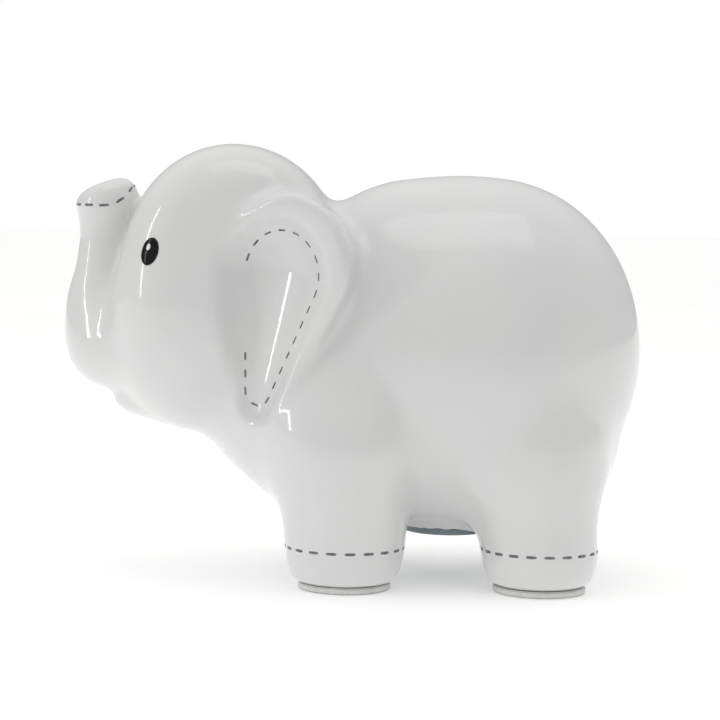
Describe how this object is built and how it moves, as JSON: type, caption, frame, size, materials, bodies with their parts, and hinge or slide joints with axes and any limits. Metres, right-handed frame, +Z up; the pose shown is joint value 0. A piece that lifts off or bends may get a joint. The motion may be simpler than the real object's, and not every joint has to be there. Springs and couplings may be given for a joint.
{
  "type": "figural animal coin bank",
  "caption": "Hollow ceramic elephant money box with a raised trunk, cupped ears, a coin slot in the back and a pull-out soft plug in the belly.",
  "frame": {"origin": "on the floor, under the middle of the length", "axes": "+X towards the tail with the trunk facing -X, +Y towards the animal's right side, +Z up"},
  "size_m": [0.211, 0.117, 0.1575],
  "materials": {
    "white_glaze": "glossy white glaze, fired",
    "soft_plug": "matt blue-grey moulded soft vinyl",
    "foot_pad": "matt light grey foam pad"
  },
  "bodies": {
    "bank": {"ceramic_shell": "white_glaze", "foot_pad_front_left": "foot_pad", "foot_pad_front_right": "foot_pad", "foot_pad_rear_left": "foot_pad", "foot_pad_rear_right": "foot_pad"},
    "stopper": {"belly_stopper": "soft_plug"}
  },
  "joints": [
    {"name": "stopper_pull", "type": "slide", "parent": "bank", "child": "stopper", "axis": [0, 0, -1], "range_m": [0, 0.0155]}
  ]
}
